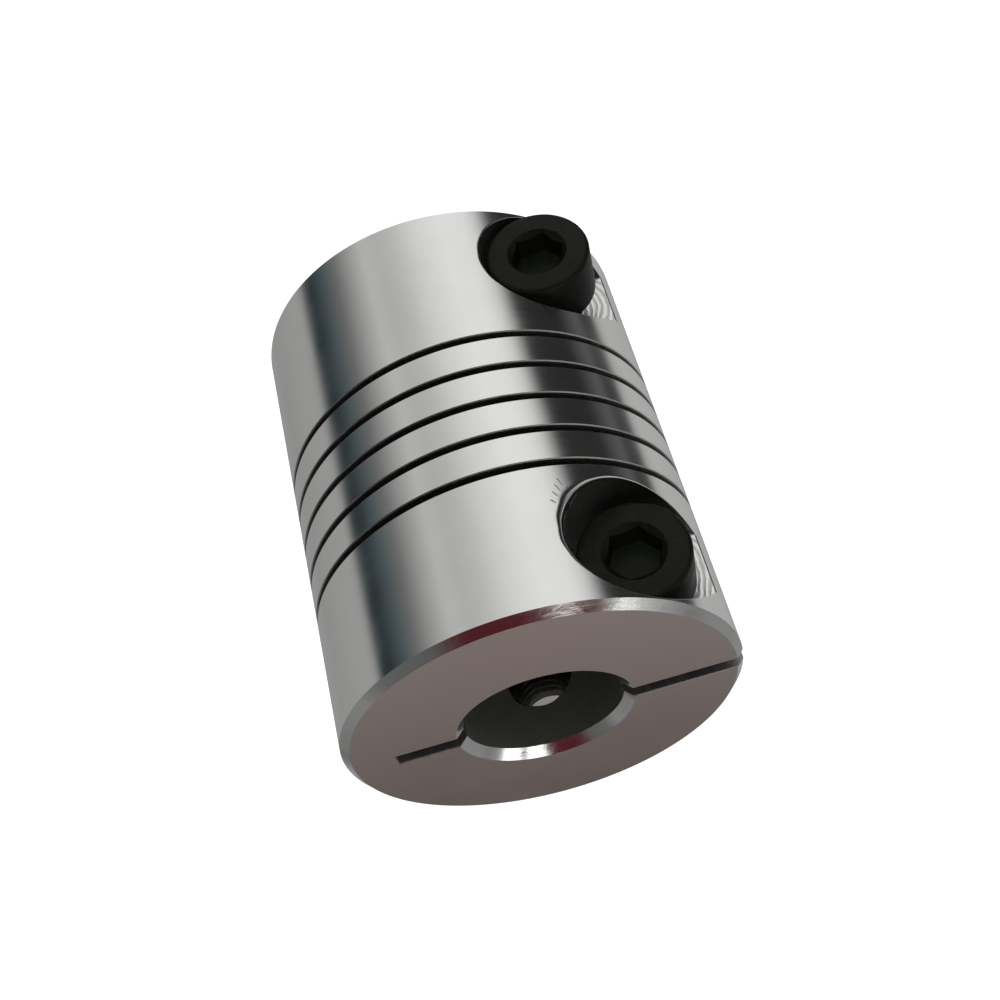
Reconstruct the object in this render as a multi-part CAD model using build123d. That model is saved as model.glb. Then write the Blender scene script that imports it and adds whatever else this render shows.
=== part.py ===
from build123d import *
import os

# Clamp type beam coupling, one-piece aluminium body with two clamp screws.
# Millimetres. The shaft axis is +Z, and the lower end face stands on z = 0.
# -Y is the side of the screw heads. The clamp slit opens towards -X.

# Body
outer_diameter = 20.0
length = 25.0
bore_diameter = 8.0
relief_diameter = 8.6
bore_depth = 7.0
outer_chamfer = 0.4
bore_chamfer = 0.45

# Helical slot: five turns, right-handed, which leave a beam of four turns
slot_pitch = 2.0
slot_width = 0.35
slot_turns = 5
slot_start_z = 7.78
slot_start_azimuth = 8.8
beam_halves = 2 * (slot_turns - 1)

# Clamp slit, open to the outside at -X and blind at +X
slit_width = 0.9
slit_blind_x = 7.5

# Clamp screws, socket head cap screws M3 x 10, at one distance from each end
screw_offset = 6.1
screw_inset = 3.8
screw_radius = 1.5
screw_length = 10.0
head_radius = 2.7
head_height = 3.0
head_bevel = 0.25
socket_flats = 2.5
socket_depth = 1.5
socket_countersink = 0.3
tip_bevel = 0.4
seat_gap = 0.01
lower_screw_backed_out = 2.2

# Milled pocket of each screw head, and the holes below it
pocket_offset = 6.5
pocket_radius = 3.3
pocket_floor_y = -3.5
clearance_hole_radius = 1.7
thread_hole_radius = 1.55

# Radial hole for a set screw, in the wall away from the screw heads
set_screw_hole_radius = 1.65
set_screw_hole_inset = 4.2

outer_radius = outer_diameter / 2
bore_radius = bore_diameter / 2
relief_radius = relief_diameter / 2
half_slot = slot_width / 2
slot_end_z = slot_start_z + slot_turns * slot_pitch

# A cutter passes this far beyond the surfaces that it cuts, and one that clears all of the
# body on one side of the slot is this tall
overrun = 1.0
clearing_height = 4 * slot_pitch
same_height = 0.01


def slot_height_at(azimuth, turn):
    """Height of the slot's middle at an azimuth in degrees, in the slot's given turn, from 0."""
    return slot_start_z + slot_pitch * (turn + (azimuth - slot_start_azimuth) / 360)


def helical_band(first_half, low, high):
    """Half a turn of a band that follows the slot, from low to high above the slot's middle."""
    inner = relief_radius - overrun
    outer = outer_radius + overrun
    section = Plane.XZ * Pos((inner + outer) / 2, (low + high) / 2) * Rectangle(outer - inner, high - low)
    path = Helix(slot_pitch, slot_pitch / 2, outer_radius)
    band = sweep(section, path=path, is_frenet=True)
    start = first_half * slot_pitch / 2 + slot_start_z
    return Pos(0, 0, start) * Rot(0, 0, slot_start_azimuth + 180 * first_half) * band


def tube(low, high, inner_radius):
    """A plain tube of the body's outer diameter between two heights."""
    wall = Cylinder(outer_radius, high - low) - Cylinder(inner_radius, high - low)
    return Pos(0, 0, (low + high) / 2) * wall


def rims_at(solid, height, smallest, largest):
    """The round edges of a solid at one height, with a radius between two limits."""
    rims = solid.edges().filter_by(GeomType.CIRCLE)
    level = [rim for rim in rims if abs(rim.center().Z - height) < same_height]
    return [rim for rim in level if smallest < rim.radius < largest]


def hub_blank(end_z, inward):
    """One end of the body, turned and bored: chamfered at its end face, relieved inside."""
    bored_end = end_z + inward * bore_depth
    reach = end_z + inward * length / 2
    bored = Cylinder(outer_radius, bore_depth) - Cylinder(bore_radius, bore_depth)
    bored = Pos(0, 0, (end_z + bored_end) / 2) * bored
    bored = chamfer(rims_at(bored, end_z, relief_radius, outer_radius + same_height), outer_chamfer)
    bored = chamfer(rims_at(bored, end_z, 0, relief_radius), bore_chamfer)
    return bored + tube(min(bored_end, reach), max(bored_end, reach), relief_radius)


def box_between(low, high):
    """An axis-aligned box between two corners."""
    size = [high[i] - low[i] for i in range(3)]
    middle = [(high[i] + low[i]) / 2 for i in range(3)]
    return Pos(*middle) * Box(*size)


def hole_along_y(x, z, radius, low_y, high_y):
    """A cylinder along Y between two places."""
    return Pos(x, (low_y + high_y) / 2, z) * Rot(90, 0, 0) * Cylinder(radius, high_y - low_y)


def clamp_slit(end_z, inward, open_depth_z, blind_depth_z):
    """The slit across one hub: out through the wall at -X, and blind in the wall at +X."""
    outside = end_z - inward * overrun
    half = slit_width / 2
    open_side = box_between(
        (-outer_radius - overrun, -half, min(outside, open_depth_z)),
        (0, half, max(outside, open_depth_z)))
    blind_side = box_between(
        (0, -half, min(outside, blind_depth_z)),
        (slit_blind_x, half, max(outside, blind_depth_z)))
    return open_side + blind_side


def screw_cuts(screw_z):
    """The head's pocket, the clearance hole in the jaw, and the threaded hole behind the slit."""
    pocket = hole_along_y(-pocket_offset, screw_z, pocket_radius, -outer_radius - overrun, pocket_floor_y)
    clearance = hole_along_y(-screw_offset, screw_z, clearance_hole_radius, -outer_radius, 0)
    thread = hole_along_y(-screw_offset, screw_z, thread_hole_radius, 0, outer_radius)
    return pocket + clearance + thread


def hub_and_jaw(end_z, inward, cutters, open_depth_z, blind_depth_z):
    """One clamp hub, parted at the slit's plane into the fixed hub (+Y) and the clamp jaw (-Y)."""
    hub = hub_blank(end_z, inward)
    for cutter in cutters:
        hub -= cutter
    hub -= clamp_slit(end_z, inward, open_depth_z, blind_depth_z)
    hub -= screw_cuts(end_z + inward * screw_inset)
    hub -= hole_along_y(0, end_z + inward * set_screw_hole_inset, set_screw_hole_radius,
                        0, outer_radius + overrun)
    low = (-outer_diameter, -outer_diameter, -overrun)
    high = (outer_diameter, 0, length + overrun)
    jaw_half = box_between(low, high)
    return hub - jaw_half, hub & jaw_half


def lower_clamp():
    """The lower hub ends at the lower face of the slot's first turn."""
    cutters = [helical_band(half, -half_slot, clearing_height) for half in range(2)]
    return hub_and_jaw(0, 1, cutters, slot_height_at(180, 0), slot_height_at(360, 0))


def upper_clamp():
    """The upper hub starts at the upper face of the slot's last turn."""
    cutters = [helical_band(beam_halves + half, -clearing_height, half_slot) for half in range(2)]
    turn = slot_turns - 1
    return hub_and_jaw(length, -1, cutters, slot_height_at(180, turn), slot_height_at(360, turn))


def beam_half_turn(half):
    """Half a turn of the helical beam, between two turns of the slot."""
    band = helical_band(half, half_slot, slot_pitch - half_slot)
    return band & tube(slot_start_z - slot_pitch, slot_end_z + slot_pitch, relief_radius)


def cap_screw(seat_y, screw_z):
    """Socket head cap screw along Y: its head is on the -Y side of seat_y."""
    head = Cylinder(head_radius, head_height)
    top_rim = head.edges().filter_by(GeomType.CIRCLE).sort_by(Axis.Z)[-1]
    head = Pos(0, 0, head_height / 2) * chamfer(top_rim, head_bevel)
    shank = Cylinder(screw_radius, screw_length)
    tip_rim = shank.edges().filter_by(GeomType.CIRCLE).sort_by(Axis.Z)[0]
    shank = Pos(0, 0, -screw_length / 2) * chamfer(tip_rim, tip_bevel)
    flat_radius = socket_flats / 2
    socket = RegularPolygon(flat_radius, 6, major_radius=False)
    socket = extrude(Pos(0, 0, head_height - socket_depth) * socket, socket_depth)
    countersink = Cone(flat_radius, flat_radius + socket_countersink, socket_countersink)
    countersink = Pos(0, 0, head_height - socket_countersink / 2) * countersink
    screw = head + shank - socket - countersink
    return Pos(-screw_offset, seat_y, screw_z) * Rot(90, 0, 0) * screw


def model():
    """Every node's name and its solid."""
    lower_hub, lower_jaw = lower_clamp()
    upper_hub, upper_jaw = upper_clamp()
    nodes = {
        "lower_hub": lower_hub,
        "lower_clamp_jaw": lower_jaw,
        "upper_hub": upper_hub,
        "upper_clamp_jaw": upper_jaw,
    }
    for half in range(beam_halves):
        nodes[f"beam_half_turn_{half + 1}"] = beam_half_turn(half)
    seat_y = pocket_floor_y - seat_gap
    nodes["upper_clamp_screw"] = cap_screw(seat_y, length - screw_inset)
    nodes["lower_clamp_screw"] = cap_screw(seat_y - lower_screw_backed_out, screw_inset)
    return nodes


os.makedirs("parts", exist_ok=True)
for name, shape in model().items():
    export_step(shape, f"parts/{name}.step")
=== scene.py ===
"""Looks of a clamp type beam coupling: a turned aluminium body with a helical slot, and two cap screws.

The meshes are worked out in millimetres in the CAD frame and scaled to metres at the end. The shaft
axis is +Z, the lower end face stands on z = 0, and the screw heads are on the -Y side.
"""

import math

import bmesh
import bpy
import numpy as np
from mathutils import Matrix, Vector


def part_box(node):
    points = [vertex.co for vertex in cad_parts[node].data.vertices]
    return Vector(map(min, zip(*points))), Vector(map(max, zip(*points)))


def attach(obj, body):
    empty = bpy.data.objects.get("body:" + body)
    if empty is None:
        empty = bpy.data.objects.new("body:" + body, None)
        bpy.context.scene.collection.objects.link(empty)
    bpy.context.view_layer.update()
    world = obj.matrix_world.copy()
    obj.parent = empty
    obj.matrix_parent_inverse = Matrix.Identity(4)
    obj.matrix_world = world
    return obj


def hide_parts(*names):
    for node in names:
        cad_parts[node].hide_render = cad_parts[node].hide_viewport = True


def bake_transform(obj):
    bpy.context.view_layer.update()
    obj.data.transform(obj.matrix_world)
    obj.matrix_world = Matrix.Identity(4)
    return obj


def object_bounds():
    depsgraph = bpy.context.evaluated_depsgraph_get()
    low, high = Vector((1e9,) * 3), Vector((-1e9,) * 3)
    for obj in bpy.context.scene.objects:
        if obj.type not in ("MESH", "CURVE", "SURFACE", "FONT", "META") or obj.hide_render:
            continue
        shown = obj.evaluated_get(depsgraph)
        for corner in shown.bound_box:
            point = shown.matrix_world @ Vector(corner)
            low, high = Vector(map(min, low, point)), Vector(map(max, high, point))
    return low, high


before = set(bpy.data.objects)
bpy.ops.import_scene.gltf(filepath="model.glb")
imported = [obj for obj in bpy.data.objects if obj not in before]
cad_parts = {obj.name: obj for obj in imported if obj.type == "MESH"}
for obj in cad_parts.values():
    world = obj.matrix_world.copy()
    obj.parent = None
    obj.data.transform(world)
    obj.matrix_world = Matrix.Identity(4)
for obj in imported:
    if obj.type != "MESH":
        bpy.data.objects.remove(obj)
cad_low, cad_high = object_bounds()

MM = 0.001

# The body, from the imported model's box, then the features that its box doesn't give
OUTER_RADIUS = (cad_high.x - cad_low.x) / 2 / MM
LENGTH = cad_high.z / MM
BORE_RADIUS = 4.0
RELIEF_RADIUS = 4.3
BORE_DEPTH = 7.0
OUTER_CHAMFER = 0.4
BORE_CHAMFER = 0.45

# Helical slot, right-handed
SLOT_PITCH = 2.0
SLOT_HALF = 0.175
SLOT_TURNS = 5
SLOT_START_Z = 7.78
SLOT_START_AZIMUTH = 8.8
BEAM_HALVES = 2 * (SLOT_TURNS - 1)

# Clamp slit, open at -X and blind at +X. Its two cutters overlap at the shaft axis
SLIT_HALF = 0.45
SLIT_BLIND_X = 7.5
SLIT_OVERLAP = 0.5

# Pockets, holes and threads of the screws. Each inset is from the nearer end
SCREW_X = -6.1
SCREW_INSET = 3.8
POCKET_X = -6.5
POCKET_RADIUS = 3.3
POCKET_FLOOR_Y = -3.5
CLEARANCE_RADIUS = 1.7
THREAD_HOLE_RADIUS = 1.55
THREAD_HOLE_GROOVE = 1.72
SCREW_THREAD_PITCH = 0.5
SET_SCREW_INSET = 4.2
SET_SCREW_RADIUS = 1.62
SET_SCREW_GROOVE = 1.82
SET_SCREW_THREAD_PITCH = 0.7
THREAD_RIM_RADIUS = THREAD_HOLE_GROOVE + 0.02
THREAD_RIM_BREAK = 0.08

# A set screw hole has no thread this far below its mouth. The clearance holes end inside the slit,
# and the taps start a hair off the parting plane
PLAIN_MOUTH = 0.6
CLEARANCE_END_Y = -0.1
TAP_START_Y = 0.013

# Clamp screws
HEAD_RADIUS = 2.7
HEAD_HEIGHT = 3.0
HEAD_BEVEL = 0.25
HEAD_BEVEL_FACETS = 6
SEAT_EDGE_BREAK = 0.06
HEAD_CORE_RADIUS = 0.8
HEAD_CORE_PLUG_RADIUS = 1.0
SOCKET_FLAT_RADIUS = 1.25
SOCKET_DEPTH = 1.5
SOCKET_COUNTERSINK = 0.3
COUNTERSINK_OVERLAP = 0.05
SOCKET_TURN = 6.0
SCREW_LENGTH = 10.0
SCREW_TIP_TAPER = 0.4
THREAD_CREST_RADIUS = 1.5
THREAD_ROOT_RADIUS = 1.22
THREAD_STEEPNESS = 1.25
NECK_RADIUS = THREAD_ROOT_RADIUS - 0.03
NECK_HALF_LENGTH = 0.5

# Edge breaks. A rim's cutter reaches out of the body by a share of the break
EDGE_BREAK = 0.05
RIM_FACETS = 5
RIM_OUTSIDE_SHARE = 0.8
WIDEST_RIM = 0.68

# Cutters pass this far beyond the surfaces that they cut
OVERRUN = 1.0

# How many sides each round shape has
TURN_STEPS = 360
POCKET_STEPS = 240
HEAD_STEPS = 144
HOLE_STEPS = 96
TAP_STEPS = 64
PLUG_STEPS = 60
SHANK_STEPS = 48


# ---------------------------------------------------------------- mesh building

SAME_POINT = 2e-5


def new_object(name, points, faces):
    """An object of points and faces, with its faces turned outwards."""
    mesh = bpy.data.meshes.new(name)
    mesh.from_pydata([tuple(map(float, p)) for p in points], [], faces)
    work = bmesh.new()
    work.from_mesh(mesh)
    bmesh.ops.recalc_face_normals(work, faces=work.faces)
    work.to_mesh(mesh)
    work.free()
    obj = bpy.data.objects.new(name, mesh)
    bpy.context.scene.collection.objects.link(obj)
    return obj


def skin(name, sections, closed):
    """A closed mesh over a row of equal loops: joined end to end, or capped at both ends."""
    sections = np.asarray(sections, float)
    count, across = sections.shape[:2]
    faces = []
    for i in range(count if closed else count - 1):
        after = (i + 1) % count
        for j in range(across):
            k = (j + 1) % across
            faces.append((i * across + j, i * across + k, after * across + k, after * across + j))
    if not closed:
        faces.append(tuple(range(across)))
        faces.append(tuple((count - 1) * across + j for j in range(across)))
    return new_object(name, sections.reshape(-1, 3), faces)


def around_z(radius, azimuth, height):
    """A point at a radius, an azimuth in degrees and a height."""
    a = math.radians(azimuth)
    return (radius * math.cos(a), radius * math.sin(a), height)


def revolve(name, profile, steps=TURN_STEPS):
    """A ring about Z with a closed profile of (radius, height)."""
    offset = 180 / steps
    sections = [
        [around_z(r, offset + 360 * i / steps, z) for r, z in profile]
        for i in range(steps)
    ]
    return skin(name, sections, closed=True)


def helical_sweep(name, profile, first_azimuth, first_height, first=0, last=180):
    """A closed profile of (radius, height) carried along the slot's helix, one degree at a time."""
    sections = []
    for i in range(first, last + 1):
        rise = first_height + SLOT_PITCH * i / 360
        sections.append([around_z(r, first_azimuth + i, z + rise) for r, z in profile])
    return skin(name, sections, closed=False)


def rod_along_y(name, x, z, radius, low_y, high_y, steps=160):
    """A round rod along Y between two places."""
    sections = []
    for y in (low_y, high_y):
        loop = []
        for i in range(steps):
            a = 2 * math.pi * (i + 0.5) / steps
            loop.append((x + radius * math.cos(a), y, z + radius * math.sin(a)))
        sections.append(loop)
    return skin(name, sections, closed=False)


def threaded_rod(name, root, crest, pitch, length, steps, rows_per_turn=8, tip=0.0, plain_from=math.inf):
    """A rod from z = 0 down to -length with a V thread.

    Its last part can be tapered by tip, or be plain below plain_from, at the root's radius.
    """
    rows = int(round(length / pitch * rows_per_turn))
    sections = []
    for j in range(rows + 1):
        depth = length * j / rows
        taper = max(0.0, tip - (length - depth))
        loop = []
        for i in range(steps):
            turn = i / steps
            phase = (depth / pitch + turn) % 1.0
            rise = 0.5 + THREAD_STEEPNESS * (0.5 - abs(2 * phase - 1))
            rise = 0.0 if depth > plain_from else min(1.0, max(0.0, rise))
            radius = min(root + (crest - root) * rise, crest - taper)
            a = 2 * math.pi * turn
            loop.append((radius * math.cos(a), radius * math.sin(a), -depth))
        sections.append(loop)
    return skin(name, sections, closed=False)


def block(name, near, far):
    """A block between two rectangles, each given by its four corners in order."""
    return skin(name, [near, far], closed=False)


def place(obj, matrix):
    """Moves a mesh's own points."""
    obj.data.transform(matrix)
    if matrix.determinant() < 0:
        obj.data.flip_normals()
    return obj


def remove(obj):
    """Deletes an object and its mesh."""
    mesh = obj.data
    bpy.data.objects.remove(obj)
    bpy.data.meshes.remove(mesh)


def boolean(obj, other, operation):
    """Cuts, joins or intersects obj with another closed mesh, which is used up."""
    modifier = obj.modifiers.new("cut", "BOOLEAN")
    modifier.operation = operation
    modifier.solver = "EXACT"
    modifier.object = other
    graph = bpy.context.evaluated_depsgraph_get()
    result = bpy.data.meshes.new_from_object(obj.evaluated_get(graph))
    obj.modifiers.clear()
    old = obj.data
    obj.data = result
    bpy.data.meshes.remove(old)
    remove(other)
    return obj


def mend(obj):
    """Merges the cuts' stray points and closes pinholes."""
    work = bmesh.new()
    work.from_mesh(obj.data)
    bmesh.ops.remove_doubles(work, verts=work.verts, dist=SAME_POINT)
    bmesh.ops.dissolve_degenerate(work, edges=work.edges, dist=SAME_POINT / 2)
    loose = [edge for edge in work.edges if not edge.link_faces]
    bmesh.ops.delete(work, geom=loose, context="EDGES")
    gaps = [edge for edge in work.edges if len(edge.link_faces) == 1]
    if gaps:
        bmesh.ops.holes_fill(work, edges=gaps, sides=0)
    work.to_mesh(obj.data)
    work.free()
    return obj


# ---------------------------------------------------------------- hubs

UPSIDE_DOWN = Matrix.Translation((0, 0, LENGTH)) @ Matrix.Diagonal((1, 1, -1, 1))
QUARTER_TURN = Matrix.Rotation(math.radians(90), 4, "X")


def slot_height(azimuth, turn):
    """Height of the slot's middle at an azimuth, in one of its turns."""
    return SLOT_START_Z + SLOT_PITCH * (turn + (azimuth - SLOT_START_AZIMUTH) / 360)


def rim_breaker(x, z, radius, side, depth_of, first=0.0, last=360.0, steps=POCKET_STEPS):
    """Takes the sharp edge off a round hole's rim on the body's outside. side is -1 or +1 along Y."""
    whole = last - first == 360
    sections = []
    for i in range(steps if whole else steps + 1):
        t = math.radians(first + (last - first) * i / steps)
        away = np.array((math.cos(t), 0, math.sin(t)))
        px, pz = x + radius * away[0], z + radius * away[2]
        point = np.array((px, side * math.sqrt(OUTER_RADIUS ** 2 - px ** 2), pz))
        outward = np.array((point[0], point[1], 0)) / OUTER_RADIUS
        along_skin = away - (away @ outward) * outward
        along_skin /= np.linalg.norm(along_skin)
        down_wall = -(outward - (outward @ away) * away)
        down_wall /= np.linalg.norm(down_wall)
        e = depth_of(math.degrees(t))
        loop = []
        for k in range(RIM_FACETS + 1):
            share = k / RIM_FACETS
            loop.append(point + e * ((1 - share) ** 2 * along_skin + share ** 2 * down_wall))
        loop.append(point - RIM_OUTSIDE_SHARE * e * (along_skin + down_wall))
        sections.append(loop)
    return skin("rim", sections, closed=whole)


def pocket_rim(screw_z, depth_of):
    """Edge breaks round a pocket's rim, and along its floor where the floor runs out of the body."""
    flank_x = -math.sqrt(OUTER_RADIUS ** 2 - POCKET_FLOOR_Y ** 2)
    half_open = math.degrees(math.acos((POCKET_X - flank_x) / POCKET_RADIUS))
    rim = rim_breaker(POCKET_X, screw_z, POCKET_RADIUS, -1,
                      depth_of, -180 + half_open - 1, 180 - half_open + 1)
    e = EDGE_BREAK
    half_length = POCKET_RADIUS * math.sin(math.radians(half_open))
    normal = np.array((flank_x, POCKET_FLOOR_Y)) / OUTER_RADIUS
    along_skin = np.array((normal[1], -normal[0]))
    corner = np.array((flank_x, POCKET_FLOOR_Y))
    inward = np.array((1.0, 0.0))
    loop = [corner + e * along_skin, corner + e * inward, corner - e * (along_skin + inward)]
    sections = [[(x, y, screw_z + k * half_length) for x, y in loop] for k in (-1, 1)]
    return [rim, skin("floor_rim", sections, closed=False)]


def hub_ring():
    """The lower end of the body as turned and bored, up to the body's middle."""
    top = LENGTH / 2
    profile = [
        (BORE_RADIUS + BORE_CHAMFER, 0),
        (OUTER_RADIUS - OUTER_CHAMFER, 0),
        (OUTER_RADIUS, OUTER_CHAMFER),
        (OUTER_RADIUS, top),
        (RELIEF_RADIUS, top),
        (RELIEF_RADIUS, BORE_DEPTH),
        (BORE_RADIUS, BORE_DEPTH),
        (BORE_RADIUS, BORE_CHAMFER),
    ]
    return revolve("ring", profile)


def slit_cutters(blind_height, open_height):
    """The clamp slit of the lower hub: through the wall at -X, blind at +X, with broken edges."""
    h, e, o = SLIT_HALF, EDGE_BREAK, OVERRUN
    far_x = -OUTER_RADIUS - o
    cutters = []
    for x0, x1, top in ((far_x, 0, open_height), (-SLIT_OVERLAP, SLIT_BLIND_X, blind_height)):
        near = [(x0, -h, -o), (x1, -h, -o), (x1, h, -o), (x0, h, -o)]
        far = [(x, y, top) for x, y, z in near]
        cutters.append(block("slit", near, far))
    w = h + e + o
    wide_x = SLIT_BLIND_X + e + o
    near = [(far_x, -w, -o), (wide_x, -w, -o), (wide_x, w, -o), (far_x, w, -o)]
    far = [(far_x, -h, e), (SLIT_BLIND_X, -h, e), (SLIT_BLIND_X, h, e), (far_x, h, e)]
    cutters.append(block("slit_face_edge", near, far))
    near, far = (
        [(x, -half, -o), (x, half, -o), (x, half, open_height), (x, -half, open_height)]
        for x, half in ((far_x, w), (-OUTER_RADIUS + e, h))
    )
    cutters.append(block("slit_side_edge", near, far))
    return cutters


def from_end(upper, inset):
    """Height of something at an inset from the lower or the upper end."""
    return LENGTH - inset if upper else inset


def slot_cutters(upper):
    """What clears a hub's side of the slot's first or last turn, with the slot's outside edge broken."""
    tall = SLOT_PITCH * 4
    reach = OUTER_RADIUS + OVERRUN
    flare = OUTER_RADIUS - EDGE_BREAK
    base = -SLOT_HALF
    section = [(RELIEF_RADIUS - OVERRUN, base), (flare, base), (reach, base - (reach - flare)),
               (reach, tall), (RELIEF_RADIUS - OVERRUN, tall)]
    start = SLOT_START_Z
    overlap = (0, 181)
    if upper:
        section = [(r, -z) for r, z in section]
        start = SLOT_START_Z + (SLOT_TURNS - 1) * SLOT_PITCH
        overlap = (-1, 180)
    return [
        helical_sweep("band", section, SLOT_START_AZIMUTH + 180 * k, start + k * SLOT_PITCH / 2, *overlap)
        for k in (0, 1)
    ]


def clamp_cutters(upper, rim_depth):
    """The clamp slit, the screw head's pocket and the screw holes of one hub."""
    if upper:
        last = SLOT_TURNS - 1
        cutters = slit_cutters(LENGTH - slot_height(360, last), LENGTH - slot_height(180, last))
        for cutter in cutters:
            place(cutter, UPSIDE_DOWN)
    else:
        cutters = slit_cutters(slot_height(360, 0), slot_height(180, 0))
    reach = OUTER_RADIUS + OVERRUN
    screw_z = from_end(upper, SCREW_INSET)
    set_z = from_end(upper, SET_SCREW_INSET)
    pocket = rod_along_y("pocket", POCKET_X, screw_z, POCKET_RADIUS, -reach, POCKET_FLOOR_Y, POCKET_STEPS)
    clearance = rod_along_y("clearance", SCREW_X, screw_z, CLEARANCE_RADIUS,
                            -OUTER_RADIUS, CLEARANCE_END_Y, HOLE_STEPS)
    cutters += [pocket, *pocket_rim(screw_z, rim_depth), clearance]
    holes = (
        (SCREW_X, screw_z, THREAD_HOLE_RADIUS, THREAD_HOLE_GROOVE, SCREW_THREAD_PITCH, math.inf),
        (0.0, set_z, SET_SCREW_RADIUS, SET_SCREW_GROOVE, SET_SCREW_THREAD_PITCH, OUTER_RADIUS - PLAIN_MOUTH),
    )
    for x, z, minor, major, pitch, plain_from in holes:
        tap = threaded_rod("tap", minor, major, pitch, reach, TAP_STEPS, plain_from=plain_from)
        cutters.append(place(tap, Matrix.Translation((x, TAP_START_Y, z)) @ QUARTER_TURN))
    cutters.append(rim_breaker(SCREW_X, screw_z, THREAD_RIM_RADIUS, 1, lambda angle: THREAD_RIM_BREAK))
    return cutters


def clamp_half_meshes(upper, rim_depth):
    """The two meshes of one clamp hub: the fixed half at +Y and the jaw at -Y.

    The upper hub is turned and slit as the lower one upside down. Both have their screws on one side.
    """
    hub = hub_ring()
    if upper:
        place(hub, UPSIDE_DOWN)
    for cutter in slot_cutters(upper) + clamp_cutters(upper, rim_depth):
        boolean(hub, cutter, "DIFFERENCE")
    halves = []
    for side in (1, -1):
        half = bpy.data.objects.new("half", hub.data.copy())
        bpy.context.scene.collection.objects.link(half)
        r = 2 * OUTER_RADIUS
        near = [(-r, 0, -r), (r, 0, -r), (r, 0, 3 * r), (-r, 0, 3 * r)]
        far = [(x, side * r, z) for x, y, z in near]
        boolean(half, block("side", near, far), "INTERSECT")
        halves.append(mend(half))
    remove(hub)
    return halves


def beam_half(index):
    """Half a turn of the beam between two turns of the slot, its outside edges broken."""
    low, high, e = SLOT_HALF, SLOT_PITCH - SLOT_HALF, EDGE_BREAK
    section = [
        (RELIEF_RADIUS, low),
        (OUTER_RADIUS - e, low),
        (OUTER_RADIUS, low + e),
        (OUTER_RADIUS, high - e),
        (OUTER_RADIUS - e, high),
        (RELIEF_RADIUS, high),
    ]
    start = SLOT_START_Z + index * SLOT_PITCH / 2
    return helical_sweep("beam", section, SLOT_START_AZIMUTH + 180 * index, start)


# ---------------------------------------------------------------- screws

def cap_screw_mesh():
    """A socket head cap screw along Z: its seat is z = 0, its head above and its thread below."""
    r, h, b = HEAD_RADIUS, HEAD_HEIGHT, HEAD_BEVEL
    profile = [(HEAD_CORE_RADIUS, 0.0), (r - SEAT_EDGE_BREAK, 0.0), (r, SEAT_EDGE_BREAK)]
    for k in range(HEAD_BEVEL_FACETS + 1):
        a = math.radians(90 * k / HEAD_BEVEL_FACETS)
        profile.append((r - b + b * math.cos(a), h - b + b * math.sin(a)))
    profile.append((HEAD_CORE_RADIUS, h))
    head = revolve("head", profile, HEAD_STEPS)
    plug = rod_along_y("plug", 0, 0, HEAD_CORE_PLUG_RADIUS, -h, 0, PLUG_STEPS)
    boolean(head, place(plug, QUARTER_TURN.inverted()), "UNION")
    flat = SOCKET_FLAT_RADIUS
    corner = flat / math.cos(math.radians(30))
    loops = []
    for z in (h - SOCKET_DEPTH, h + OVERRUN):
        loops.append([around_z(corner, SOCKET_TURN + 60 * i, z) for i in range(6)])
    boolean(head, skin("socket", loops, closed=False), "DIFFERENCE")
    loops = []
    for rise in (-SOCKET_COUNTERSINK - COUNTERSINK_OVERLAP, OVERRUN):
        radius = flat + SOCKET_COUNTERSINK + rise
        loops.append([around_z(radius, 360 * (i + 0.5) / HOLE_STEPS, h + rise) for i in range(HOLE_STEPS)])
    boolean(head, skin("countersink", loops, closed=False), "DIFFERENCE")
    shank = threaded_rod("shank", THREAD_ROOT_RADIUS, THREAD_CREST_RADIUS, SCREW_THREAD_PITCH,
                         SCREW_LENGTH, SHANK_STEPS, tip=SCREW_TIP_TAPER)
    neck = rod_along_y("neck", 0, 0, NECK_RADIUS, -NECK_HALF_LENGTH, NECK_HALF_LENGTH, SHANK_STEPS)
    boolean(shank, place(neck, QUARTER_TURN), "UNION")
    boolean(head, shank, "UNION")
    return head


# ---------------------------------------------------------------- normals and regions

# A face's region is also the number of its material. A face that no function below marks stays SAWN.
SKIN, FACE, BORE, FLOOR, SIDE, SAWN, EDGE, THREAD = range(8)

SHARP_ANGLE = 28
ON_SURFACE = 0.004
NEAR_EDGE = 0.01
ALIGNED = 0.98
SLOPE = math.sqrt(0.5)


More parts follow.
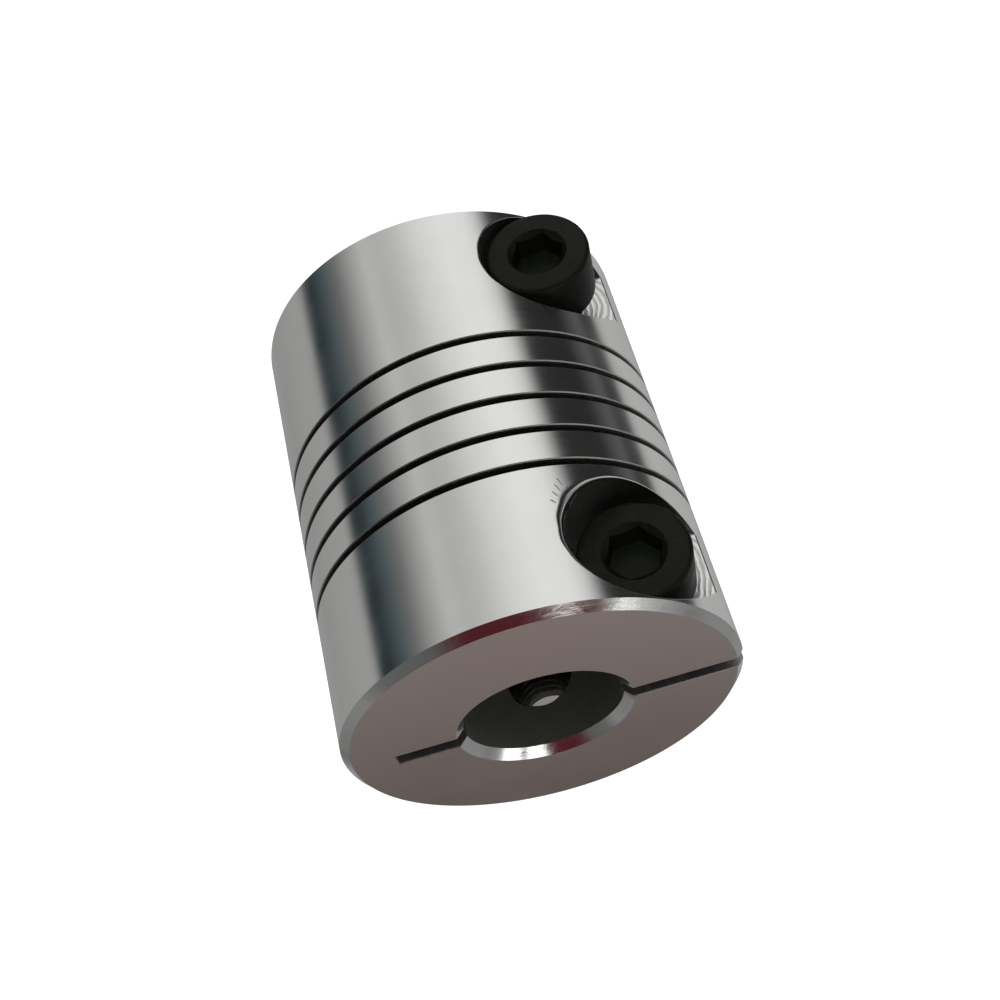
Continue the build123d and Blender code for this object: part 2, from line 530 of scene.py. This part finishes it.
class Surface:
    """A mesh's loops, with the exact normal and the region that each is given."""

    def __init__(self, mesh):
        self.mesh = mesh
        self.count = len(mesh.polygons)
        points = np.empty(len(mesh.vertices) * 3)
        mesh.vertices.foreach_get("co", points)
        vertex = np.empty(len(mesh.loops), int)
        mesh.loops.foreach_get("vertex_index", vertex)
        totals = np.empty(self.count, int)
        mesh.polygons.foreach_get("loop_total", totals)
        normals = np.empty(self.count * 3)
        mesh.polygons.foreach_get("normal", normals)
        self.polygon = np.repeat(np.arange(self.count), totals)
        self.point = points.reshape(-1, 3)[vertex]
        self.flat = normals.reshape(-1, 3)[self.polygon]
        self.exact = np.zeros_like(self.point)
        self.region = np.full(self.count, SAWN)
        x, y = self.point[:, 0], self.point[:, 1]
        self.radius = np.hypot(x, y)
        self.radial = np.stack((x / self.radius, y / self.radius, 0 * x), 1)

    def along(self, direction):
        """How far each loop's flat face points in a direction, from -1 to 1."""
        return (self.flat * direction).sum(1)

    def unmarked(self):
        """True for the loops of faces that have no region yet."""
        return self.region[self.polygon] == SAWN

    def from_axis(self, x, z):
        """Each loop's distance from an axis along Y, and the direction towards that axis."""
        dx, dz = self.point[:, 0] - x, self.point[:, 2] - z
        distance = np.hypot(dx, dz)
        return distance, np.stack((-dx / distance, 0 * distance, -dz / distance), 1)

    def assign(self, mask, normals, number):
        """Gives a region and its normals to the faces that have all their loops in the mask."""
        partly = np.bincount(self.polygon, weights=~mask, minlength=self.count) > 0
        mask = mask & ~partly[self.polygon]
        self.exact[mask] = normals[mask]
        self.region[self.polygon[mask]] = number

    def write(self):
        """Gives the mesh its material numbers and normals. A zero normal is left to Blender."""
        self.mesh.polygons.foreach_set("material_index", self.region)
        self.mesh.normals_split_custom_set([tuple(normal) for normal in self.exact])


def smooth_edges(mesh):
    """Smooth faces, and sharp edges where they meet at a steep angle."""
    mesh.polygons.foreach_set("use_smooth", [True] * len(mesh.polygons))
    work = bmesh.new()
    work.from_mesh(mesh)
    for edge in work.edges:
        if len(edge.link_faces) == 2:
            edge.smooth = edge.calc_face_angle(0.0) < math.radians(SHARP_ANGLE)
    work.to_mesh(mesh)
    work.free()


def mark_turned(surface):
    """The outside, the bores and the relief between them."""
    facing = surface.along(surface.radial)
    outside = abs(surface.radius - OUTER_RADIUS) < ON_SURFACE
    surface.assign(outside & (facing > ALIGNED), surface.radial, SKIN)
    for inner in (BORE_RADIUS, RELIEF_RADIUS):
        inside = abs(surface.radius - inner) < ON_SURFACE
        surface.assign(inside & (facing < -ALIGNED), -surface.radial, BORE)


def mark_end(surface, end_z, outward):
    """The faced end and its two chamfers."""
    up = np.zeros_like(surface.point)
    up[:, 2] = outward
    upright = surface.flat[:, 2] * outward
    from_end_face = abs(surface.point[:, 2] - end_z)
    surface.assign((from_end_face < 1e-4) & (upright > 0.99), up, FACE)
    facing = surface.along(surface.radial)
    sloping = (from_end_face < BORE_CHAMFER + NEAR_EDGE) & (upright > 0.6)
    outer = surface.radius > OUTER_RADIUS - OUTER_CHAMFER - NEAR_EDGE
    outer &= abs(facing - SLOPE) < 0.03
    surface.assign(sloping & outer, SLOPE * (surface.radial + up), EDGE)
    inner = surface.radius < BORE_RADIUS + BORE_CHAMFER + NEAR_EDGE
    inner &= abs(facing + SLOPE) < 0.03
    surface.assign(sloping & inner, SLOPE * (up - surface.radial), EDGE)


def mark_wall(surface, x, z, radius):
    """The wall of a plain hole along Y."""
    distance, inward = surface.from_axis(x, z)
    on_wall = abs(distance - radius) < ON_SURFACE
    surface.assign(on_wall & (surface.along(inward) > ALIGNED), inward, SIDE)


def mark_rim(surface, screw_z):
    """A pocket's rolled rim, whose normals turn from the outside's to the wall's."""
    distance, inward = surface.from_axis(POCKET_X, screw_z)
    below_skin = OUTER_RADIUS - surface.radius
    behind_wall = distance - POCKET_RADIUS
    rim = surface.unmarked() & (abs(surface.flat[:, 2]) < 0.999)
    rim &= surface.point[:, 1] < POCKET_FLOOR_Y + WIDEST_RIM
    for depth in (below_skin, behind_wall):
        rim &= (depth > -ON_SURFACE) & (depth < WIDEST_RIM)
    share = np.clip(below_skin / np.maximum(below_skin + behind_wall, 1e-6), 0, 1)[:, None]
    rolled = (1 - share) * surface.radial + share * inward
    rolled /= np.linalg.norm(rolled, axis=1)[:, None]
    surface.assign(rim, rolled, EDGE)


def mark_thread(surface, x, z, groove):
    """A tapped hole's thread. It keeps Blender's own normals."""
    distance, _ = surface.from_axis(x, z)
    in_hole = (distance < groove + NEAR_EDGE) & (surface.point[:, 1] > 0)
    in_hole &= surface.unmarked() & (abs(surface.flat[:, 1]) < ALIGNED)
    surface.assign(in_hole, surface.exact, THREAD)


def mark_floor(surface):
    """The pocket's milled floor."""
    back = np.zeros_like(surface.point)
    back[:, 1] = -1
    on_floor = abs(surface.point[:, 1] - POCKET_FLOOR_Y) < 1e-3
    surface.assign(on_floor & (surface.flat[:, 1] < -0.99), back, FLOOR)


def shade(obj, end_z=None):
    """Gives a piece its exact normals and regions. end_z is the height of a hub's end face."""
    smooth_edges(obj.data)
    surface = Surface(obj.data)
    mark_turned(surface)
    if end_z is not None:
        outward = -1.0 if end_z == 0 else 1.0
        screw_z = end_z - outward * SCREW_INSET
        mark_end(surface, end_z, outward)
        mark_wall(surface, POCKET_X, screw_z, POCKET_RADIUS)
        mark_rim(surface, screw_z)
        mark_wall(surface, SCREW_X, screw_z, CLEARANCE_RADIUS)
        mark_thread(surface, SCREW_X, screw_z, THREAD_HOLE_GROOVE)
        mark_thread(surface, 0.0, end_z - outward * SET_SCREW_INSET, SET_SCREW_GROOVE)
        mark_floor(surface)
    surface.write()
    return obj


def finish_piece(obj, name, body, node, materials):
    """Names a piece, scales it to metres, gives it its materials and hides the CAD part that it stands for.

    The piece rides on its body, or is left unattached where body is None.
    """
    obj.name = name
    obj.data.name = name
    obj.data.transform(Matrix.Scale(MM, 4))
    for material in materials:
        obj.data.materials.append(material)
    if body is not None:
        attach(obj, body)
    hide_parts(node)
    return obj


# ---------------------------------------------------------------- materials

class Shader:
    """A material's node tree, with short calls for adding and linking nodes."""

    def __init__(self, name):
        self.material = bpy.data.materials.new(name)
        self.material.use_nodes = True
        self.nodes = self.material.node_tree.nodes
        self.links = self.material.node_tree.links
        self.principled = next(n for n in self.nodes if n.type == "BSDF_PRINCIPLED")
        self.place = self.nodes.new("ShaderNodeTexCoord").outputs["Object"]

    def set(self, socket, value):
        """Sets a number, or links a socket."""
        if isinstance(value, bpy.types.NodeSocket):
            self.links.new(value, socket)
        else:
            socket.default_value = value

    def node(self, kind, output, inputs, **settings):
        """A node with its settings and inputs, given by name or number. Returns one output."""
        made = self.nodes.new(kind)
        for key, value in settings.items():
            setattr(made, key, value)
        for key, value in inputs.items():
            self.set(made.inputs[key], value)
        return made.outputs[output]

    def math(self, operation, a, b=0.0, c=0.0):
        return self.node("ShaderNodeMath", 0, {0: a, 1: b, 2: c}, operation=operation)

    def vector(self, operation, a, b=(0, 0, 0), output=0):
        return self.node("ShaderNodeVectorMath", output, {0: a, 1: b}, operation=operation)

    def split(self, vector):
        made = self.nodes.new("ShaderNodeSeparateXYZ")
        self.set(made.inputs[0], vector)
        return made.outputs

    def join(self, x, y, z):
        return self.node("ShaderNodeCombineXYZ", 0, {0: x, 1: y, 2: z})

    def noise(self, vector, scale, detail=3.0, roughness=0.55):
        return self.node("ShaderNodeTexNoise", 0, {
            "Vector": vector, "Scale": scale, "Detail": detail, "Roughness": roughness})

    def span(self, value, low, high, to_low, to_high):
        """Maps low..high to to_low..to_high, held at both ends."""
        return self.node("ShaderNodeMapRange", 0, {
            0: value, 1: low, 2: high, 3: to_low, 4: to_high})

    def smooth_step(self, value, low, high):
        """A soft rise from 0 at low to 1 at high."""
        return self.node("ShaderNodeMapRange", 0, {0: value, 1: low, 2: high, 3: 0.0, 4: 1.0},
                         interpolation_type="SMOOTHSTEP")

    def stretch(self, vector, x, y, z):
        """Each part of a vector multiplied, which draws a noise out along the small ones."""
        return self.vector("MULTIPLY", vector, (x, y, z))

    def hypot(self, a, b):
        return self.math("SQRT", self.math("ADD", self.math("MULTIPLY", a, a), self.math("MULTIPLY", b, b)))

    def tone(self, value, low, high, dark, bright):
        """A colour from dark, where the value is low, to bright."""
        return self.mix(self.span(value, low, high, 0.0, 1.0), (*dark, 1), (*bright, 1))

    def mix(self, factor, a, b):
        made = self.nodes.new("ShaderNodeMix")
        made.data_type = "RGBA"
        self.set(made.inputs[0], factor)
        self.set(made.inputs[6], a)
        self.set(made.inputs[7], b)
        return made.outputs[2]

    def bump(self, height, depth, strength=1.0, normal=None):
        """A normal over a height map with a depth in millimetres, on top of another normal."""
        inputs = {"Height": height, "Distance": depth * MM, "Strength": strength}
        if normal is not None:
            inputs["Normal"] = normal
        return self.node("ShaderNodeBump", 0, inputs)

    def finish(self, **inputs):
        """Sets the Principled shader's own sockets."""
        for key, value in inputs.items():
            self.set(self.principled.inputs[key.replace("_", " ")], value)
        return self.material


def millimetres(s):
    """The point in the CAD frame, in millimetres."""
    return s.vector("MULTIPLY", s.place, (1 / MM, 1 / MM, 1 / MM))


def round_z_tangent(s):
    """The direction of turning about the shaft axis."""
    return s.vector("NORMALIZE", s.vector("CROSS_PRODUCT", (0, 0, 1), s.place))


def scratch_mask(s, x, y, z, azimuth, height, lean, half_length, half_width):
    """1 on a short straight scratch on the outside, which leans from the shaft axis."""
    a = math.radians(azimuth)
    side = (-math.sin(a), math.cos(a))
    across = s.math("ADD", s.math("MULTIPLY", x, side[0]), s.math("MULTIPLY", y, side[1]))
    outward = s.math("ADD", s.math("MULTIPLY", x, math.cos(a)), s.math("MULTIPLY", y, math.sin(a)))
    up = s.math("SUBTRACT", z, height)
    c, d = math.cos(math.radians(lean)), math.sin(math.radians(lean))
    along = s.math("ADD", s.math("MULTIPLY", up, c), s.math("MULTIPLY", across, d))
    beside = s.math("SUBTRACT", s.math("MULTIPLY", across, c), s.math("MULTIPLY", up, d))
    in_width = s.span(s.math("ABSOLUTE", beside), 0.4 * half_width, half_width, 1.0, 0.0)
    in_length = s.span(s.math("ABSOLUTE", along), 0.6 * half_length, half_length, 1.0, 0.0)
    mask = s.math("MULTIPLY", in_width, in_length)
    return s.math("MULTIPLY", mask, s.math("GREATER_THAN", outward, 0.0))


# Handling marks on the outside: azimuth, height, lean from the axis in degrees, half length, half width
SCRATCHES = (
    (-111.8, 18.3, -24, 0.26, 0.030),
    (-111.0, 18.7, -28, 0.34, 0.036),
    (-110.2, 19.1, -34, 0.40, 0.036),
    (-109.4, 19.5, -44, 0.42, 0.040),
    (-108.5, 3.7, 0, 0.50, 0.028),
    (-149.5, 21.7, 20, 0.10, 0.050),
)


def turned_skin():
    """Bright turned outside: fine feed marks round the body, handling marks, a few scratches."""
    s = Shader("aluminium_turned")
    p = millimetres(s)
    x, y, z = s.split(p)
    feed = s.noise(s.stretch(p, 0.02, 0.02, 1), 9.0, 4.0, 0.7)
    broad = s.noise(p, 0.35, 3.0, 0.5)
    grain = s.noise(p, 14.0, 2.0, 0.5)
    marks = s.noise(s.stretch(p, 0.9, 0.9, 0.12), 5.0, 5.0, 0.72)
    scuff = s.span(marks, 0.66, 0.78, 0.0, 1.0)
    scratch = 0.0
    for row in SCRATCHES:
        scratch = s.math("MAXIMUM", scratch, scratch_mask(s, x, y, z, *row))
    rough = s.math("ADD", s.span(broad, 0.35, 0.65, 0.14, 0.18), s.math("MULTIPLY", scuff, 0.12))
    rough = s.math("ADD", rough, s.span(feed, 0.3, 0.7, -0.02, 0.02))
    rough = s.math("ADD", rough, s.math("MULTIPLY", scratch, 0.25))
    color = s.tone(broad, 0.35, 0.65, (0.885, 0.895, 0.870), (0.925, 0.932, 0.905))
    normal = s.bump(feed, 0.0016, 0.5)
    normal = s.bump(grain, 0.0006, 0.35, normal)
    normal = s.bump(scratch, -0.03, 0.8, normal)
    return s.finish(Base_Color=color, Metallic=1.0, Roughness=rough, Anisotropic=0.45,
                    Anisotropic_Rotation=0.25, Tangent=round_z_tangent(s), Normal=normal)


def faced_end():
    """Satin faced end: rings about the shaft axis."""
    s = Shader("aluminium_faced")
    p = millimetres(s)
    x, y, z = s.split(p)
    radius = s.hypot(x, y)
    rings = s.noise(s.join(radius, 0.0, 0.0), 7.0, 5.0, 0.75)
    grain = s.noise(p, 16.0, 3.0, 0.6)
    broad = s.noise(p, 0.3, 2.0, 0.5)
    rough = s.math("ADD", s.span(broad, 0.35, 0.65, 0.21, 0.25), s.span(rings, 0.3, 0.7, -0.02, 0.02))
    color = s.tone(grain, 0.3, 0.7, (0.87, 0.84, 0.825), (0.94, 0.91, 0.895))
    normal = s.bump(rings, 0.004, 0.7)
    normal = s.bump(grain, 0.003, 0.6, normal)
    return s.finish(Base_Color=color, Metallic=1.0, Roughness=rough, Anisotropic=0.3,
                    Anisotropic_Rotation=0.25, Tangent=round_z_tangent(s), Normal=normal)


def bored():
    """Reamed bore: fine rings, a little dull, its colour darkened and tinted green as painted shade and
    painted reflection inside the bore.
    """
    s = Shader("aluminium_bored")
    p = millimetres(s)
    rings = s.noise(s.stretch(p, 0.1, 0.1, 1), 6.0, 4.0, 0.7)
    grain = s.noise(p, 9.0, 3.0, 0.6)
    rough = s.span(rings, 0.3, 0.7, 0.46, 0.56)
    # Painted shade: the bore's colour is set well below bright aluminium, with a green tint that is painted
    # reflection
    color = s.tone(grain, 0.3, 0.7, (0.44, 0.465, 0.42), (0.53, 0.555, 0.51))
    normal = s.bump(rings, 0.004, 0.6)
    return s.finish(Base_Color=color, Metallic=1.0, Roughness=rough, Normal=normal)


def from_pocket_axis(s, x, z):
    """Distance from the nearer pocket's axis. The two are at one distance from the body's middle."""
    from_middle = s.math("ABSOLUTE", s.math("SUBTRACT", z, LENGTH / 2))
    dz = s.math("SUBTRACT", from_middle, LENGTH / 2 - SCREW_INSET)
    return s.hypot(s.math("SUBTRACT", x, POCKET_X), dz)


def milled_floor():
    """Milled pocket floor: bright, with the cutter's rings."""
    s = Shader("aluminium_milled")
    p = millimetres(s)
    x, y, z = s.split(p)
    radius = from_pocket_axis(s, x, z)
    wander = s.noise(p, 1.3, 3.0, 0.5)
    phase = s.math("ADD", s.math("MULTIPLY", radius, 21.0), s.math("MULTIPLY", wander, 9.0))
    wave = s.math("SINE", phase)
    fine = s.noise(s.join(radius, 0.0, 0.0), 9.0, 4.0, 0.7)
    groove = s.math("ADD", s.span(wave, -1.0, 1.0, 0.0, 0.7), s.span(fine, 0.3, 0.7, 0.0, 0.3))
    grain = s.noise(p, 12.0, 3.0, 0.6)
    rough = s.span(groove, 0.1, 0.9, 0.34, 0.18)
    color = s.tone(groove, 0.1, 0.8, (0.56, 0.57, 0.55), (0.92, 0.925, 0.905))
    normal = s.bump(groove, 0.016, 0.8)
    normal = s.bump(grain, 0.003, 0.5, normal)
    return s.finish(Base_Color=color, Metallic=1.0, Roughness=rough, Normal=normal)


def milled_side():
    """Milled pocket wall: dull, with the cutter's upright lines, its colour darkened as painted shade inside
    the pocket.
    """
    s = Shader("aluminium_pocket_wall")
    p = millimetres(s)
    lines = s.noise(s.stretch(p, 1, 0.1, 1), 8.0, 4.0, 0.65)
    grain = s.noise(p, 10.0, 3.0, 0.6)
    rough = s.span(lines, 0.3, 0.7, 0.30, 0.42)
    # Painted shade: the wall's colour is set well below bright aluminium for the shade inside the pocket
    color = s.tone(grain, 0.3, 0.7, (0.30, 0.31, 0.295), (0.42, 0.43, 0.41))
    normal = s.bump(lines, 0.008, 0.7)
    return s.finish(Base_Color=color, Metallic=1.0, Roughness=rough, Normal=normal)


def sawn_wall():
    """Slot walls, slit walls and parting faces: duller, with cutter lines, their colour darkened as painted
    shade in the narrow cuts.
    """
    s = Shader("aluminium_slot")
    p = millimetres(s)
    lines = s.noise(s.stretch(p, 1, 1, 0.15), 5.0, 4.0, 0.65)
    rough = s.span(lines, 0.3, 0.7, 0.36, 0.5)
    # Painted shade: the walls' colour is set well below bright aluminium for the shade inside the slot and
    # slit
    color = s.tone(lines, 0.3, 0.7, (0.46, 0.46, 0.45), (0.60, 0.60, 0.58))
    normal = s.bump(lines, 0.008, 0.8)
    return s.finish(Base_Color=color, Metallic=1.0, Roughness=rough, Normal=normal)


def tapped_hole():
    """Tapped holes: dull threads, their colour set near black as painted shade inside the holes."""
    s = Shader("aluminium_tapped")
    p = millimetres(s)
    grain = s.noise(p, 6.0, 4.0, 0.65)
    rough = s.span(grain, 0.3, 0.7, 0.40, 0.55)
    # Painted shade: the threads' colour is near black for the shade inside the holes
    color = s.tone(grain, 0.35, 0.7, (0.10, 0.10, 0.085), (0.20, 0.20, 0.18))
    normal = s.bump(grain, 0.01, 0.6)
    return s.finish(Base_Color=color, Metallic=1.0, Roughness=rough, Normal=normal)


def bright_edge():
    """Chamfers and rolled rims: clean cuts, a little uneven."""
    s = Shader("aluminium_chamfer")
    p = millimetres(s)
    rings = s.noise(s.stretch(p, 0.05, 0.05, 1), 12.0, 4.0, 0.7)
    uneven = s.noise(p, 2.2, 4.0, 0.6)
    rough = s.span(rings, 0.3, 0.7, 0.10, 0.17)
    color = s.tone(rings, 0.3, 0.7, (0.86, 0.865, 0.85), (0.93, 0.935, 0.92))
    normal = s.bump(rings, 0.003, 0.5)
    normal = s.bump(uneven, 0.015, 0.4, normal)
    return s.finish(Base_Color=color, Metallic=1.0, Roughness=rough, Normal=normal)


def black_oxide():
    """Black oxide on steel: near black, a little oily, worn thinner in places."""
    s = Shader("steel_black_oxide")
    p = millimetres(s)
    grain = s.noise(p, 7.0, 5.0, 0.65)
    broad = s.noise(p, 0.8, 3.0, 0.5)
    worn = s.span(s.noise(p, 3.0, 6.0, 0.7), 0.62, 0.72, 0.0, 1.0)
    rough = s.math("ADD", s.span(broad, 0.35, 0.65, 0.38, 0.5), s.span(grain, 0.3, 0.7, -0.05, 0.05))
    color = s.tone(grain, 0.35, 0.7, (0.0007, 0.0010, 0.0005), (0.0020, 0.0025, 0.0015))
    color = s.mix(s.math("MULTIPLY", worn, 0.5), color, (0.005, 0.005, 0.004, 1))
    normal = s.bump(grain, 0.01, 0.6)
    return s.finish(Base_Color=color, Metallic=0.0, Roughness=rough, Specular_IOR_Level=0.17,
                    Normal=normal)


# ---------------------------------------------------------------- the pieces

# One material for each region, in the regions' order
aluminium = [
    turned_skin(),
    faced_end(),
    bored(),
    milled_floor(),
    milled_side(),
    sawn_wall(),
    bright_edge(),
    tapped_hole(),
]
oxide = black_oxide()


def lip(angle, least, most, middle, spread):
    """Edge break of a pocket's rim: widest where the cutter has rolled the edge over, and uneven."""
    off = (angle - middle + 180) % 360 - 180
    coarse = 0.12 * math.sin(math.radians(7 * angle))
    fine = 0.08 * math.sin(math.radians(17 * angle + 40))
    return (1 + coarse + fine) * (least + most * math.exp(-(off / spread) ** 2))


def near_lip(angle):
    """The upper pocket's rim."""
    return lip(angle, 0.06, 0.46, -26, 46)


def far_lip(angle):
    """The lower pocket's rim."""
    return lip(angle, 0.05, 0.10, 0, 60)


for end, is_upper, rim_depth in (("lower", False, far_lip), ("upper", True, near_lip)):
    fixed, jaw = clamp_half_meshes(is_upper, rim_depth)
    for piece, node in ((fixed, f"{end}_hub"), (jaw, f"{end}_clamp_jaw")):
        shade(piece, LENGTH if is_upper else 0.0)
        finish_piece(piece, f"{node}_turned", node, node, aluminium)

for number in range(1, BEAM_HALVES + 1):
    half = shade(beam_half(number - 1))
    node = f"beam_half_turn_{number}"
    finish_piece(half, f"{node}_spring", None, node, aluminium)
    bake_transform(half)

for end in ("lower", "upper"):
    node = f"{end}_clamp_screw"
    low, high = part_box(node)
    tip_y = high.y / MM
    middle_z = (low.z + high.z) / 2 / MM
    screw = cap_screw_mesh()
    place(screw, Matrix.Translation((SCREW_X, tip_y - SCREW_LENGTH, middle_z)) @ QUARTER_TURN)
    shade(screw)
    # The screw has one material, so none of its faces keeps a region of the body
    screw.data.polygons.foreach_set("material_index", [0] * len(screw.data.polygons))
    finish_piece(screw, f"{node}_black", node, node, [oxide])


# ---------------------------------------------------------------- light, floor and camera

def srgb(level):
    """Linear light of a screen level from 0 to 255."""
    v = level / 255
    return v / 12.92 if v <= 0.04045 else ((v + 0.055) / 1.055) ** 2.4


# Studio surroundings: azimuth in degrees and the grey, or colour, that is there as a screen level.
# The low bands are below eye level and the high bands above it, with a soft change between.
LOW_BANDS = [
    (-180, 80), (-170, 40), (-148, 42), (-142, 54), (-132, 208), (-124, 228), (-108, 230), (-88, 208),
    (-77, 187), (-66, 176), (-55, 186), (-33, 108), (-22, (72, 82, 87)), (-12, (38, 46, 49)),
    (-5, (42, 50, 54)), (1, 158), (42, 145), (64, 150), (80, 132), (98, 124), (113, 166), (150, 178),
    (157, 166), (161, 66), (170, 54), (176, 92), (180, 80),
]
HIGH_BANDS = [
    (-180, 168), (-165, 200), (-150, 120), (-120, 90), (-30, 88), (5, 98), (20, 130), (44, 118),
    (90, (142, 130, 126)), (110, 132), (149, 132), (160, 116), (170, 140), (180, 168),
]
LOW_END, HIGH_START = -0.22, 0.12

# Soft round patches: azimuth, elevation, and where the patch begins to fade and has gone, in degrees
SHELF_PATCH = (86, -10, 25, 42)
SHELF_COLOR = (38, 33, 31)
RED_PATCH = (-98, 64, 22, 40)
RED_COLOR = (76, 30, 34)
LAMP_PATCHES = ((-175, 57, 7, 12), (-138, 70, 8, 13))
LAMP_LIGHT = (1.6, 1.6, 1.56, 1)
WHITE = (1, 1, 1, 1)


def screen_color(levels):
    """Linear colour of three screen levels."""
    return (*(srgb(level) for level in levels), 1)


def band_ramp(nodes, bands):
    """A colour ramp over azimuth."""
    ramp = nodes.new("ShaderNodeValToRGB")
    elements = ramp.color_ramp.elements
    while len(elements) < len(bands):
        elements.new(0.5)
    for element, (azimuth, level) in zip(elements, bands):
        element.position = azimuth / 360 + 0.5
        element.color = screen_color(level if isinstance(level, tuple) else (level, level, level))
    return ramp


def soft_patch(s, direction, azimuth, elevation, inner, outer):
    """1 within inner degrees of a direction, fading to 0 at outer degrees."""
    a, e = math.radians(azimuth), math.radians(elevation)
    aim = (math.cos(a) * math.cos(e), math.sin(a) * math.cos(e), math.sin(e))
    near = s.vector("DOT_PRODUCT", direction, aim, output=1)
    return s.smooth_step(near, math.cos(math.radians(outer)), math.cos(math.radians(inner)))


class WorldShader(Shader):
    """The same short calls for the world's node tree."""

    def __init__(self, world):
        world.use_nodes = True
        self.nodes = world.node_tree.nodes
        self.links = world.node_tree.links
        self.nodes.clear()


def make_world():
    """Soft studio surroundings, and plain white where the camera looks past the object."""
    world = bpy.data.worlds.new("studio")
    bpy.context.scene.world = world
    s = WorldShader(world)
    direction = s.node("ShaderNodeTexCoord", "Generated", {})
    x, y, z = s.split(direction)
    turn = s.math("ADD", s.math("DIVIDE", s.math("ARCTAN2", y, x), 2 * math.pi), 0.5)
    low = band_ramp(s.nodes, LOW_BANDS)
    high = band_ramp(s.nodes, HIGH_BANDS)
    s.set(low.inputs[0], turn)
    s.set(high.inputs[0], turn)
    rise = s.smooth_step(z, LOW_END, HIGH_START)
    upper = s.mix(soft_patch(s, direction, *SHELF_PATCH), high.outputs[0], screen_color(SHELF_COLOR))
    color = s.mix(rise, low.outputs[0], upper)
    color = s.mix(soft_patch(s, direction, *RED_PATCH), color, screen_color(RED_COLOR))
    for patch in LAMP_PATCHES:
        color = s.mix(soft_patch(s, direction, *patch), color, LAMP_LIGHT)
    is_camera = s.node("ShaderNodeLightPath", "Is Camera Ray", {})
    color = s.mix(is_camera, color, WHITE)
    background = s.nodes.new("ShaderNodeBackground")
    s.set(background.inputs[0], color)
    background.inputs[1].default_value = 1.0
    out = s.nodes.new("ShaderNodeOutputWorld")
    s.links.new(background.outputs[0], out.inputs[0])


# The floor is in metres, and a hair below the object
FLOOR_HALF_WIDTH = 3.0
FLOOR_GAP = 0.00002


def make_floor():
    """A plain pale floor that the object stands on."""
    half = FLOOR_HALF_WIDTH
    corners = [(-half, -half, 0), (half, -half, 0), (half, half, 0), (-half, half, 0)]
    floor = new_object("floor", corners, [(0, 1, 2, 3)])
    floor.location.z = -FLOOR_GAP
    floor.visible_glossy = False
    s = Shader("pale_floor")
    tone = s.span(s.noise(s.place, 3.0), 0.3, 0.7, 0.90, 0.93)
    s.finish(Base_Color=s.join(tone, tone, tone), Roughness=0.9)
    floor.data.materials.append(s.material)


LIGHT_ELEVATION = 25.0
LIGHT_SPREAD = 7.0
LIGHT_STRENGTH = 8.6


def make_light():
    """One soft light from the screw head side, low enough that the shadow falls behind the object."""
    data = bpy.data.lights.new("soft_light", "SUN")
    data.energy = LIGHT_STRENGTH
    data.angle = math.radians(LIGHT_SPREAD)
    light = bpy.data.objects.new("soft_light", data)
    light.rotation_euler = (math.radians(90 - LIGHT_ELEVATION), 0, 0)
    light.visible_glossy = False
    bpy.context.scene.collection.objects.link(light)


# The camera, in millimetres and degrees, with its clipping distances in metres
CAMERA_TARGET = (-0.833, -0.132, 12.276)
CAMERA_DISTANCE = 74.087
CAMERA_AZIMUTH = 1.191
CAMERA_ELEVATION = 33.706
CAMERA_ROLL = 164.384
CAMERA_LENS = 50.098
CAMERA_SENSOR = 36
CAMERA_SHIFT = (-0.0036, 0.0002)
CAMERA_CLIP = (0.002, 20)


def make_camera():
    """The camera looks down at the screw heads, rolled so that the upper end face is below."""
    data = bpy.data.cameras.new("camera")
    data.sensor_width = CAMERA_SENSOR
    data.lens = CAMERA_LENS
    data.shift_x, data.shift_y = CAMERA_SHIFT
    data.clip_start, data.clip_end = CAMERA_CLIP
    camera = bpy.data.objects.new("camera", data)
    bpy.context.scene.collection.objects.link(camera)
    a, e, r = (math.radians(v) for v in (CAMERA_AZIMUTH, CAMERA_ELEVATION, CAMERA_ROLL))
    forward = np.array((math.sin(a) * math.cos(e), math.cos(a) * math.cos(e), -math.sin(e)))
    level = np.array((math.cos(a), -math.sin(a), 0.0))
    upright = np.cross(level, forward)
    up = math.cos(r) * upright - math.sin(r) * level
    right = np.cross(forward, up)
    position = np.array(CAMERA_TARGET) - CAMERA_DISTANCE * forward
    camera.matrix_world = Matrix((
        (right[0], up[0], -forward[0], position[0] * MM),
        (right[1], up[1], -forward[1], position[1] * MM),
        (right[2], up[2], -forward[2], position[2] * MM),
        (0, 0, 0, 1),
    ))
    bpy.context.scene.camera = camera


make_world()
make_floor()
make_light()
make_camera()
bpy.context.scene.view_settings.view_transform = "Standard"
